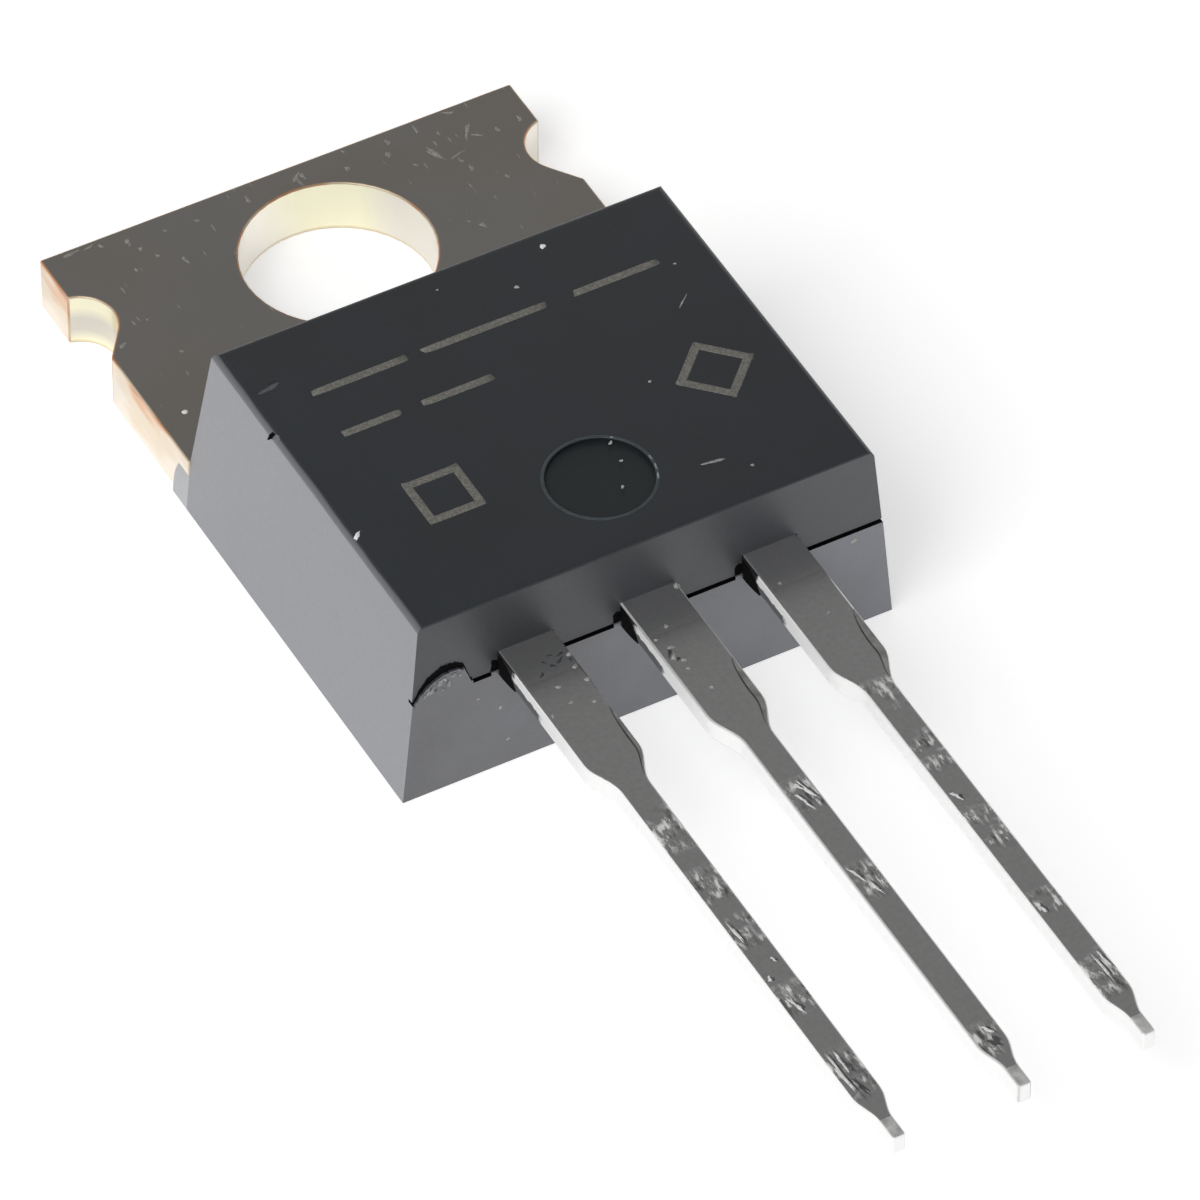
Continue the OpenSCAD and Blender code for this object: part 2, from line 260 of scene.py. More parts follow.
def makeSheared(name):
    look = edgeFinish
    material, add, shader, place = newMaterial(name, Metallic=1.0, Roughness=look["roughness"])
    long, high = perMetre(look["bandLong"]), perMetre(look["bandHigh"])
    banded = add("Mapping", {"Vector": place, "Rotation": (0.35, 0.0, 0.0), "Scale": (long, long, high)})[0]
    band = add("TexNoise", {"Vector": banded, "Scale": 1.0, "Detail": 2.0})["Fac"]
    axes = add("SeparateXYZ", {0: place})
    # Level of bareness: rises with z and the bands, and falls where the long wall ends, which paints a
    # highlight there
    level = add("MapRange", {"Value": axes["Z"], 1: 0.0, 2: part["tabTop"] * mm, 3: -0.42, 4: 0.58})[0]
    level = add("Math", {0: band, 1: 0.9, 2: level}, operation="MULTIPLY_ADD")[0]
    past = add("MapRange", {"Value": axes["Y"], 1: 0.0006, 2: 0.0008, 3: 1.0, 4: 0.0})[0]
    for bare, highlighted in look["highlightEnds"]:
        end = add("MapRange", {"Value": axes["Y"], 1: bare, 2: highlighted, 4: 0.5})[0]
        end = add("Math", {0: end, 1: past}, operation="MULTIPLY")[0]
        level = add("Math", {0: level, 1: end}, operation="SUBTRACT")[0]
    layers = [(add("MapRange", {"Value": level, 1: start, 2: full})[0], tone)
              for tone, start, full in look["layers"]]
    endMaterial(add, shader, look["bright"], layers, band, 0.3, 0.02)
    return material


# greyShare says how grey the middle of the wall's height is
def makeBore(name, greyShare):
    look = edgeFinish
    material, add, shader, place = newMaterial(name, Metallic=1.0, Roughness=look["roughness"])
    axes = add("SeparateXYZ", {0: place})
    across, up = axes["X"], axes["Z"]
    # Yellow round the hole's middle, where the plating is thinnest, and at the left notch; places in metres
    cloud = add("TexNoise", {"Vector": place, "Scale": perMetre(look["boreCloud"]), "Detail": 1.0})["Fac"]
    cloud = add("Math", {0: cloud, 1: 0.0012, 2: across}, operation="MULTIPLY_ADD")[0]
    right = add("MapRange", {"Value": cloud, 1: -0.0002, 2: 0.0010})[0]
    fade = add("MapRange", {"Value": across, 1: 0.0013, 2: 0.0017, 3: 1.0, 4: 0.25})[0]
    right = add("Math", {0: right, 1: fade}, operation="MULTIPLY")[0]
    left = add("MapRange", {"Value": across, 1: -0.0030, 2: -0.0034})[0]
    yellow = add("Math", {0: right, 1: left}, operation="MAXIMUM")[0]
    # Grey at middle height, less on the right, and painted shade over the right side of the hole
    middle = add("Math", {0: up, 1: 0.00050}, operation="SUBTRACT")[0]
    middle = add("Math", {0: middle}, operation="ABSOLUTE")[0]
    grey = add("MapRange", {"Value": middle, 1: 0.00042, 2: 0.00015, 4: greyShare})[0]
    less = add("MapRange", {"Value": across, 1: -0.001, 2: 0.001, 3: 1.0, 4: 0.35})[0]
    grey = add("Math", {0: grey, 1: less}, operation="MULTIPLY")[0]
    shade = add("MapRange", {"Value": across, 1: 0.0012, 2: 0.0017, 4: 0.5 * (1 - greyShare)})[0]
    line = add("MapRange", {"Value": up, 1: 0.00010, 2: 0.00003, 4: 0.7})[0]
    streak = add("Mapping", {"Vector": place, "Scale": [perMetre(size) for size in look["streak"]]})[0]
    streak = add("TexNoise", {"Vector": streak, "Scale": 1.0, "Detail": 2.0})["Fac"]
    layers = ((yellow, look["boreYellow"]), (grey, look["grey"]), (shade, look["grey"]), (line, look["line"]))
    endMaterial(add, shader, look["boreCream"], layers, streak, 0.25, 0.02)
    return material


# Worn rim of the strip: brassy on the tab, tin on the lead
def makeRim(name):
    look = edgeFinish
    material, add, shader, place = newMaterial(name, Metallic=0.5, Roughness=0.4)
    wear = add("TexNoise", {"Vector": place, "Scale": perMetre(look["rimWear"]), "Detail": 2.0})["Fac"]
    wear = add("MapRange", {"Value": wear, 1: 0.42, 2: 0.58})[0]
    along = add("SeparateXYZ", {0: place})["Y"]
    past = add("MapRange", {"Value": along, 1: -0.004, 2: -0.005})[0]
    endMaterial(add, shader, look["rimPlated"], ((wear, look["rimBare"]), (past, leadFinish["tin"])))
    return material


# Silica-filled epoxy moulding compound. The front is smooth and nearly black. The drafted sides come from a
# spark-eroded cavity wall and are satin; their pale grey tone is painted sheen for the glare they catch at a
# slant. The lead end is one compound in two copies: a darker one on the upper half as painted shade and a
# paler one on the lower half as painted light. Each surface has its low and high tone, roughness and strength
# of the grain
mouldFinish = {
    "front": ("#2b2e31", "#31353a", 0.42, 0.15), "side": ("#64666f", "#6a6c75", 0.46, 0.3),
    "endUpper": ("#2c2e31", "#45474c", 0.5, 0.25), "endLower": ("#2e3036", "#676973", 0.46, 0.3),
    "dimple": ("#1f2427", "#24292c", 0.4, 0.1), "dimpleWall": ("#0f1214", "#1f2427", 0.5, 0.1),
    "lip": ("#b4b5b8", "#c8c9cb", 0.4, 0.2),
    "cloud": 1.8, "grain": 0.07,  # mm; the real erosion grain is about 0.02 and wouldn't show
    # Along the front's rounded left edge: a painted mid-grey sheen below and a painted dark shade line above,
    # from these z in metres
    "land": (("#5a5c61", 0.00418, 0.00421), ("#0a0a0d", 0.00429, 0.00431)), "landWave": 0.00005,
}


# lean makes the colour paler per metre to the right, as painted light, and the edge flag adds painted sheen
# and painted shade along the front's rounded left edge
def makeMould(name, surface, lean=0.0, land=False, **constants):
    look = mouldFinish
    low, high, roughness, strength = look[surface]
    material, add, shader, place = newMaterial(name, Roughness=roughness, **constants)
    cloud, grain = (add("TexNoise", {"Vector": place, "Scale": perMetre(look[key]), "Detail": 3.0,
                                     "Roughness": rough})["Fac"]
                    for key, rough in (("cloud", 0.5), ("grain", 0.6)))
    axes = add("SeparateXYZ", {0: place})
    cloud = add("Math", {0: axes["X"], 1: lean, 2: cloud}, operation="MULTIPLY_ADD")[0]
    layers, links = [(cloud, high)], {}
    if land:
        # Painted sheen and painted shade along the front's rounded left edge, with less coat where the
        # painted sheen lies
        up = add("Math", {0: cloud, 1: look["landWave"], 2: axes["Z"]}, operation="MULTIPLY_ADD")[0]
        layers += [(add("MapRange", {"Value": up, 1: start, 2: full})[0], tone)
                   for tone, start, full in look["land"]]
        links["Coat_Weight"] = add("MapRange", {"Value": layers[1][0], 3: 1.0, 4: 0.1})[0]
    rough = add("MapRange", {"Value": grain, 1: 0.3, 2: 0.7, 3: roughness - 0.05, 4: roughness + 0.06})[0]
    endMaterial(add, shader, low, layers, grain, strength, 0.02, Roughness=rough, **links)
    return material


# Small marks and sealed pieces: silicon is lapped and dark grey, solder dull and dimpled, aluminium wire
# drawn bright; the colour is mottled between two tones, in blots of the given size in mm
def makeMottled(name, low, high, size, roughness, metallic=0.0, bumpStrength=0.2, **constants):
    material, add, shader, place = newMaterial(name, Metallic=metallic, Roughness=roughness, **constants)
    cloud = add("TexNoise", {"Vector": place, "Scale": perMetre(size), "Detail": 3.0})["Fac"]
    cloud = add("MapRange", {"Value": cloud, 1: 0.35, 2: 0.65})[0]
    endMaterial(add, shader, low, ((cloud, high),), cloud, bumpStrength, 0.01)
    return material


gateTin, drainTin, sourceTin = (makeTin(lead) for lead, x in leadPlaces)
tinWall = makeTinWall("sheared_tin_plate")
stubTin = makeMottled("cropped_tin_plate", *leadFinish["stub"], 0.2, 0.5, 0.5)
plate = makePlate("nickel_plated_copper")
sheared = makeSheared("sheared_copper_edge")
bore = makeBore("punched_copper_wall", 0.0)
notch = makeBore("punched_notch_wall", 0.8)
rim = makeRim("worn_copper_rim")
mouldFront = makeMould("smooth_epoxy_compound", "front")
# A clear coat gives the eroded faces a sheen at a slant, and their pale grey base tone adds painted sheen
mouldSide = makeMould("side_compound_painted_sheen", "side", land=True, Specular_IOR_Level=1.0, Coat_Weight=1.0,
                      Coat_Roughness=0.35, Coat_IOR=1.6)
# Lead end: a darker copy on the upper half for painted shade, a paler copy on the lower half for painted
# light, both paler to the right as painted light
mouldEndUpper = makeMould("upper_end_compound_painted_shade", "endUpper", lean=90.0, Specular_IOR_Level=0.6,
                          Coat_Weight=0.45, Coat_Roughness=0.4)
mouldEndLower = makeMould("lower_end_compound_painted_light", "endLower", lean=100.0, Specular_IOR_Level=1.0,
                          Coat_Weight=0.75, Coat_Roughness=0.35, Coat_IOR=1.6)
lipSkin = makeMould("thin_resin_skin", "lip")
dimpleFloor = makeMould("ejector_pin_print", "dimple")
# The dimple's steep wall is darker than its floor, as painted shade
dimpleWall = makeMould("ejector_pin_wall_painted_shade", "dimpleWall")
# Gaps and bled resin that no light reaches
gapShade = makeMottled("shaded_gap", "#030304", "#0a0a0c", 0.05, 0.9, Specular_IOR_Level=0.1)
print("materials made")


# How a CAD mesh is cleaned: corners within merge mm are one, and faces within level degrees of each other
# are one. Edges sharper than sharp degrees are rounded
cleaning = {"merge": 0.001, "level": 0.8, "onPlane": 0.0001, "sharp": 35, "segments": 2}


# A finished copy of a CAD node: its triangles are joined at shared corners, level neighbours become whole
# faces, cuts part them at heights along y, each face takes the material that choose() gives for its centre,
# normal and the list's numbers by name, and edges are rounded
def finishNode(nodeName, pieceName, edgeWidth, materials, choose, cuts=(), rimName=""):
    mesh = nodes[nodeName].data.copy()
    mesh.name = pieceName
    if "custom_normal" in mesh.attributes:
        mesh.attributes.remove(mesh.attributes["custom_normal"])
    shape = bmesh.new()
    shape.from_mesh(mesh)
    bmesh.ops.remove_doubles(shape, verts=shape.verts, dist=cleaning["merge"] * mm)
    bmesh.ops.dissolve_limit(shape, angle_limit=math.radians(cleaning["level"]), verts=shape.verts,
                             edges=shape.edges)
    for y in cuts:
        bmesh.ops.bisect_plane(shape, geom=shape.verts[:] + shape.edges[:] + shape.faces[:],
                               dist=cleaning["onPlane"] * mm, plane_co=(0, y * mm, 0), plane_no=(0, 1, 0))
    shape.to_mesh(mesh)
    shape.free()
    mesh.materials.clear()
    for material in materials.values():
        mesh.materials.append(material)
    at = {key: index for index, key in enumerate(materials)}
    count = len(mesh.polygons)
    centre, normal = np.zeros(count * 3), np.zeros(count * 3)
    mesh.polygons.foreach_get("center", centre)
    mesh.polygons.foreach_get("normal", normal)
    index = choose(centre.reshape(-1, 3) / mm, normal.reshape(-1, 3), at)
    mesh.polygons.foreach_set("material_index", index.astype(np.int32))
    mesh.polygons.foreach_set("use_smooth", np.ones(count, bool))
    mesh.update()
    piece = bpy.data.objects.new(pieceName, mesh)
    scene.collection.objects.link(piece)
    bevel = piece.modifiers.new("rounded edges", "BEVEL")
    bevel.width = edgeWidth * mm
    bevel.segments = cleaning["segments"]
    bevel.limit_method = "ANGLE"
    bevel.angle_limit = math.radians(cleaning["sharp"])
    bevel.harden_normals = True
    bevel.material = at.get(rimName, -1)
    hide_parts(nodeName)
    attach(piece, "root")


# A face of the strip is flat when its normal has this much of z. Places on the strip are in mm
stripFaces = {"flat": 0.7, "sideNormal": 0.99, "sideX": 4.9, "notchX": 4.0, "endY": 2.45, "rootCut": 0.06,
              "rootFaces": 0.05}


# The leads' tops and undersides are scuffed, their walls sheared and their ends cropped
def chooseLead(centre, normal, at):
    flat = np.abs(normal[:, 2]) > stripFaces["flat"]
    stub = (centre[:, 1] < part["stubStart"]) & flat
    return np.where(stub, at["stub"], np.where(flat, at["tin"], at["wall"]))


# Tops and undersides take the plate, outer walls the sheared edge, hole and notches the punched wall,
# and what lies past the moulding is tinned
def chooseTab(centre, normal, at):
    x, y = np.abs(centre[:, 0]), centre[:, 1]
    flat = np.abs(normal[:, 2]) > stripFaces["flat"]
    side = (np.abs(normal[:, 0]) > stripFaces["sideNormal"]) & (x > stripFaces["sideX"])
    punched = np.where(x > stripFaces["notchX"], at["notch"], at["bore"])
    wall = np.where(side | (y > stripFaces["endY"]), at["sheared"], punched)
    onTop = np.where(flat, at["plate"], wall)
    lead = y < part["mouldEnd"] + stripFaces["rootFaces"]
    return np.where(lead, chooseLead(centre, normal, at), onTop)


# Where the moulding's faces lie, in mm, and how far their unit normals lean
mouldFaces = {
    "facing": 0.9, "topZ": 4.0, "endDeep": 0.2,
    "dimpleDeep": 0.03, "dimpleWallZ": 4.2, "dimpleOut": 0.02, "dimpleSteep": 0.5,
    "grooveDown": 0.035, "grooveHalf": 0.045, "grooveDeep": 0.13,
    "roundingZ": 4.05, "notLeft": -0.2, "upward": 0.15,
}


# Each row goes over those before it. The roundings of the front's edge are as smooth as the front, except
# the left one
def chooseMould(centre, normal, at):
    x, y, z = centre.T
    test = mouldFaces
    end = (normal[:, 1] < -test["facing"]) & (y < part["mouldEnd"] + test["endDeep"])
    fromGroove = np.abs(z - part["partingZ"] + test["grooveDown"])
    level = (normal[:, 2] > test["facing"]) & (z > test["topZ"])
    away = np.hypot(x - part["dimple"][0], y - part["dimple"][1])
    index = np.full(len(x), at["side"])
    for key, here in (
            ("endLower", end), ("endUpper", end & (z > part["partingZ"])),
            # The parting groove's faces take the near-black finish as painted shade
            ("groove", (fromGroove < test["grooveHalf"]) & (y < part["mouldEnd"] + test["grooveDeep"])),
            ("front", (z > test["roundingZ"]) & (normal[:, 0] > test["notLeft"])
             & (normal[:, 2] > test["upward"])),
            ("lip", (y > part["mouldHead"]) & (z < part["tabTop"])),
            ("front", level),
            ("dimpleFloor", level & (z < part["frontZ"] - test["dimpleDeep"])),
            # The dimple's steep wall takes painted shade
            ("dimpleWall", (z > test["dimpleWallZ"]) & (away < part["dimpleRadius"] + test["dimpleOut"])
             & (np.abs(normal[:, 2]) < test["dimpleSteep"]))):
        index = np.where(here, at[key], index)
    return index


# Widths of the rounded edges, in mm
edgeWidths = {"tab": 0.035, "gate": 0.05, "source": 0.06, "mould": 0.03}
finishNode("tab_and_drain_lead", "nickelTab", edgeWidths["tab"],
           {"plate": plate, "sheared": sheared, "bore": bore, "tin": drainTin, "wall": tinWall, "rim": rim,
            "notch": notch, "stub": stubTin},
           chooseTab, cuts=(part["mouldEnd"] + stripFaces["rootCut"], part["stubStart"]),
           rimName="rim")
for nodeName, pieceName, side, tin in (("gate_lead", "gateLead", "gate", gateTin),
                                       ("source_lead", "sourceLead", "source", sourceTin)):
    finishNode(nodeName, pieceName, edgeWidths[side], {"tin": tin, "wall": tinWall, "stub": stubTin},
               chooseLead, cuts=(part["stubStart"],))
finishNode("moulded_body", "mouldedCase", edgeWidths["mould"],
           {"front": mouldFront, "side": mouldSide, "endUpper": mouldEndUpper, "endLower": mouldEndLower,
            "dimpleFloor": dimpleFloor, "dimpleWall": dimpleWall, "lip": lipSkin, "groove": gapShade},
           chooseMould, cuts=(part["mouldHead"],))
print("finished copies made")


# Sealed pieces keep their CAD mesh
sealed = {
    "silicon_chip": makeMottled("lapped_silicon", "#565e69", "#656e7b", 0.3, 0.18),
    "chip_solder": makeMottled("soft_solder", "#a8a8ac", "#bebec2", 0.15, 0.5, 1.0),
    "gate_bond_wire": makeMottled("drawn_aluminium_wire", "#d2d2d5", "#e0e0e3", 0.05, 0.25, 1.0),
}
sealed["source_bond_wire"] = sealed["gate_bond_wire"]
for name, material in sealed.items():
    nodes[name].data.materials.clear()
    nodes[name].data.materials.append(material)
print("sealed pieces dressed")


# Puts a new mesh into the scene as a piece of the part. Its points are u, v and height in mm on a place, and
# axes holds the place's origin and its u, v and outward directions
def addPiece(name, points, faces, axes, material, smooth=True):
    origin, directions = np.array(axes[0], float), np.array(axes[1:], float)
    points = origin + points.reshape(-1, 3) @ directions
    mesh = bpy.data.meshes.new(name)
    mesh.from_pydata((points * mm).tolist(), [], faces)
    mesh.polygons.foreach_set("use_smooth", np.full(len(faces), smooth))
    mesh.materials.append(material)
    mesh.update()
    piece = bpy.data.objects.new(name, mesh)
    scene.collection.objects.link(piece)
    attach(piece, "root")


# Low closed pebbles, one for each row (u, v, half length, half width, turn in degrees, height). For an angle
# a and a ring r from 0 to 1: the outline is o(a) = 1 + rough * (three sines of a with random phases) / 3, a
# point lies at u = length * o * r * cos(a)^(2/square), v = width * o * r * sin(a)^(2/square) and rises by
# height * (1 - r^crown). A flat underside, sunk by a third of the height, closes it
def addPebbles(name, rows, axes, material, square=2.0, crown=2.0, rough=0.35, seed=1,
               around=16):
    rings = 4
    rows = np.array(rows, float)
    count = len(rows)
    u, v, halfLong, halfWide, turn, tall = (rows[:, i][:, None, None] for i in range(6))
    a = np.linspace(0, 2 * math.pi, around, endpoint=False)[None, None, :]
    r = np.concatenate([np.linspace(0, 1, rings + 1)[1:], [1.0]])[None, :, None]
    phase = np.random.default_rng(seed).uniform(0, 2 * math.pi, (3, count, 1, 1))
    outline = 1 + rough / 3 * (np.sin(2 * a + phase[0]) + np.sin(3 * a + phase[1]) + np.sin(5 * a + phase[2]))
    x = halfLong * outline * r * np.sign(np.cos(a)) * np.abs(np.cos(a)) ** (2 / square)
    y = halfWide * outline * r * np.sign(np.sin(a)) * np.abs(np.sin(a)) ** (2 / square)
    h = tall * (1 - r ** crown) * np.ones_like(a)
    h[:, -1, :] = -tall[:, 0, :] / 3
    grid = np.stack([x, y, h], axis=-1).reshape(count, -1, 3)
    top, low = (np.stack([0 * height, 0 * height, height], axis=-1)[:, None, :]
                for height in (rows[:, 5], -rows[:, 5] / 3))
    local = np.concatenate([top, grid, low], axis=1)
    c, s = np.cos(np.radians(turn[:, 0, :])), np.sin(np.radians(turn[:, 0, :]))
    points = np.stack([u[:, 0] + local[..., 0] * c - local[..., 1] * s,
                       v[:, 0] + local[..., 0] * s + local[..., 1] * c, local[..., 2]], axis=-1)
    j = np.arange(around)
    k = (j + 1) % around
    fanTop = np.stack([0 * j, 1 + j, 1 + k], axis=-1)
    start = 1 + np.arange(rings)[:, None] * around
    quads = np.stack([start + j, start + around + j, start + around + k, start + k], axis=-1).reshape(-1, 4)
    last = 1 + rings * around
    fanLow = np.stack([0 * j + last + around, last + k, last + j], axis=-1)
    step = (np.arange(count) * points.shape[1])[:, None, None]
    faces = sum(((step + fan).reshape(-1, fan.shape[1]).tolist() for fan in (fanTop, quads, fanLow)), [])
    addPiece(name, points, faces, axes, material)


# A closed band between two curves low(u) and high(u) that stands tall above its place and is sunk below it:
# four points at each station of u, carried from end to end and capped
def addBand(name, u, low, high, tall, axes, material):
    sunk = -0.02
    corners = ((low, sunk), (low, tall), (high, tall), (high, sunk))
    points = np.stack([np.stack([u, side, 0 * u + z], -1) for side, z in corners], axis=1)
    i = np.arange(len(u) - 1)[:, None] * 4
    j = np.arange(4)[None, :]
    k = (j + 1) % 4
    faces = np.stack([i + j, i + 4 + j, i + 4 + k, i + k], axis=-1).reshape(-1, 4).tolist()
    end = 4 * (len(u) - 1)
    faces += [[0, 1, 2, 3], [end + 3, end + 2, end + 1, end]]
    addPiece(name, points, faces, axes, material, smooth=False)


# A raised ring: at angle a round the middle and b round its section, the point lies at distance
# radius + wide * cos(b) from the middle and at height tall * sin(b)
def addRing(name, middle, radius, wide, tall, axes, material):
    around, section = 96, 8
    a = np.linspace(0, 2 * math.pi, around, endpoint=False)[:, None]
    b = np.linspace(0, 2 * math.pi, section, endpoint=False)[None, :]
    reach = radius + wide * np.cos(b) + 0 * a
    points = np.stack([middle[0] + reach * np.cos(a), middle[1] + reach * np.sin(a),
                       tall * np.sin(b) + 0 * a], -1)
    i, j = np.meshgrid(np.arange(around), np.arange(section), indexing="ij")
    n, m = (i + 1) % around, (j + 1) % section
    faces = np.stack([i * section + j, n * section + j, n * section + m, i * section + m], -1)
    addPiece(name, points, faces.reshape(-1, 4).tolist(), axes, material)


# Places that marks lie on: the origin, then the u, v and outward directions. The slant is the rounded left
# edge of the front, and the root a little inside the lead end
onTab, onFront, onLeads = (((0, 0, part[z]), (1, 0, 0), (0, 1, 0), (0, 0, 1))
                           for z in ("tabTop", "frontZ", "leadTop"))
onEnd, onLowerEnd, onRoot = (((0, part["mouldEnd"] + y, 0), (1, 0, 0), (0, 0, 1), (0, -1, 0))
                             for y in (0, -0.04, 0.012))
onSlant = ((-4.690, 0, 4.247), (0, -1, 0), (0.7071, 0, 0.7071), (-0.7071, 0, 0.7071))

# Laser-etched marks: plain bars (x, y, half length) and two outlined squares (x, y, half size, turn), with a
# grainy burnt floor
laserMarks = {
    "tones": ("#666560", "#83817a"), "grain": 0.045,
    "stroke": 0.085,  # mm, half the width of a line
    "tall": 0.004,
    "bars": ((-2.6, -5.9, 1.0), (0.0, -5.9, 1.3), (2.75, -5.9, 0.9), (-3.0, -7.1, 0.6), (-1.2, -7.1, 0.75)),
    "squares": ((-2.7, -9.35, 0.5, 0), (3.2, -8.9, 0.5, 45)),
}
etched = makeMottled("laser_etched_compound", *laserMarks["tones"], laserMarks["grain"], 0.8, 0.0, 0.6)
stroke, tall = laserMarks["stroke"], laserMarks["tall"]
rows = [(x, y, half, stroke, 0, tall) for x, y, half in laserMarks["bars"]]
for x, y, half, turn in laserMarks["squares"]:
    for side in range(4):
        angle = math.radians(turn + 90 * side)
        rows.append((x + half * math.cos(angle), y + half * math.sin(angle), half + stroke, stroke,
                     turn + 90 * side + 90, tall))
addPebbles("laserMarks", rows, onFront, etched, square=9, crown=9, rough=0.05, seed=4, around=48)

# Ring pressed up round the ejector dimple, paler than the front as painted light on its lit edge, and painted
# highlights on its right side, each with its angle in degrees and half length
dimpleRing = {
    "tones": ("#3b4347", "#434b4f"), "out": 0.035, "wide": 0.035, "tall": 0.010,
    "lightTones": ("#7f8487", "#a3a8aa"), "lightRadius": 1.06, "lightWide": 0.028, "lightTall": 0.014,
    "lights": ((-26, 0.14), (-13, 0.15), (1, 0.12), (50, 0.06)),
}
addRing("dimpleRing", part["dimple"], part["dimpleRadius"] + dimpleRing["out"], dimpleRing["wide"],
        dimpleRing["tall"], onFront, makeMottled("pressed_up_ring_painted_lit_edge", *dimpleRing["tones"], 0.2, 0.45))
rows = []
(x, y), reach = part["dimple"], dimpleRing["lightRadius"]
for turn, half in dimpleRing["lights"]:
    angle = math.radians(turn)
    rows.append((x + reach * math.cos(angle), y + reach * math.sin(angle), half, dimpleRing["lightWide"],
                 turn + 90, dimpleRing["lightTall"]))
rimHighlight = makeMottled("painted_rim_highlight", *dimpleRing["lightTones"], 0.1, 0.35)
addPebbles("dimpleLights", rows, onFront, rimHighlight, rough=0.15, seed=3)

# Finishes of the small marks: two tones, size of the blots in mm, roughness, and metallic share if it has one
finishes = {
    "bright_chip": ("#f6f6f4", "#ffffff", 0.05, 0.6),  # fresh break, or a pale grain
    "pale_dust": ("#8f8e8c", "#c4c3c0", 0.05, 0.7),
    "worn_compound_edge": ("#6c6d72", "#85868b", 0.1, 0.6),  # lip that a knock has raised
    "faint_scratch": ("#4c4e51", "#626467", 0.12, 0.5),  # compound that a blunt edge has rubbed
    "raised_scratch": ("#7d7f80", "#a3a5a6", 0.08, 0.5),  # compound that a sharp edge has torn
    "dust_on_nickel": ("#827f7a", "#aaa79f", 0.05, 0.7),
    "resin_crumbs": ("#80807e", "#b4b4b1", 0.04, 0.6),
    "dark_resin_smear": ("#333436", "#4b4c50", 0.06, 0.5),
    "torn_tin_plate": ("#d6d6d4", "#ffffff", 0.07, 0.6),  # torn tin scatters light and looks white
    "dented_tin_plate": ("#6f6f70", "#8f8f90", 0.1, 0.4, 1.0),  # pressed smooth, so it mirrors the dark
    "cropped_burr_painted_highlight": ("#9d9d9a", "#c2c2be", 0.25, 0.4, 0.75),  # cropped after plating, then rubbed; paler as a painted highlight of its rolled edge
    "burr_crease": ("#4c4c4b", "#626261", 0.2, 0.5, 0.6),  # shaded fold beside the burr
    "broken_compound": ("#7b7c7f", "#b9babc", 0.06, 0.6),  # bright filler in a fresh break
}
finishes = {name: makeMottled(name, *tones) for name, tones in finishes.items()}
finishes |= {"shaded_gap": gapShade, "ejector_pin_print": dimpleFloor}

# Torn tin: bright streaks (x, y, half length, half width, turn) that stand up where the forming tool dug in,
# each with a dark dent beside it, and two dents alone
tear = {
    "tall": 0.007, "dentTall": 0.004, "dentShift": (0.05, -0.03), "dentLong": 0.95,
    "streaks": (
        (-2.71, -20.35, 0.28, 0.028, -85), (-2.61, -22.38, 0.2, 0.04, -76), (-2.72, -24.17, 0.5, 0.035, -87),
        (-2.58, -23.9, 0.24, 0.028, -89), (-2.72, -21.59, 0.06, 0.035, 75), (-2.43, -21.2, 0.06, 0.025, -71),
        (-0.13, -20.12, 0.18, 0.035, -68), (0.02, -20.54, 0.2, 0.03, -71), (0.07, -24.5, 0.16, 0.03, -57),
        (0.12, -17.9, 0.24, 0.04, -79), (-0.06, -18.1, 0.2, 0.035, -75), (0.02, -17.75, 0.12, 0.03, -60),
        (2.4, -19.31, 0.12, 0.04, -72), (2.36, -22.4, 0.14, 0.045, -88), (2.6, -24.2, 0.38, 0.022, -89),
        (2.72, -24.0, 0.22, 0.02, -86)),
    "alone": ((0.05, -24.8, 0.15, 0.1, -60), (-2.55, -24.6, 0.3, 0.04, -80)),
}
dents = [(x + tear["dentShift"][0], y + tear["dentShift"][1], half * tear["dentLong"], wide, turn)
         for x, y, half, wide, turn in tear["streaks"]]

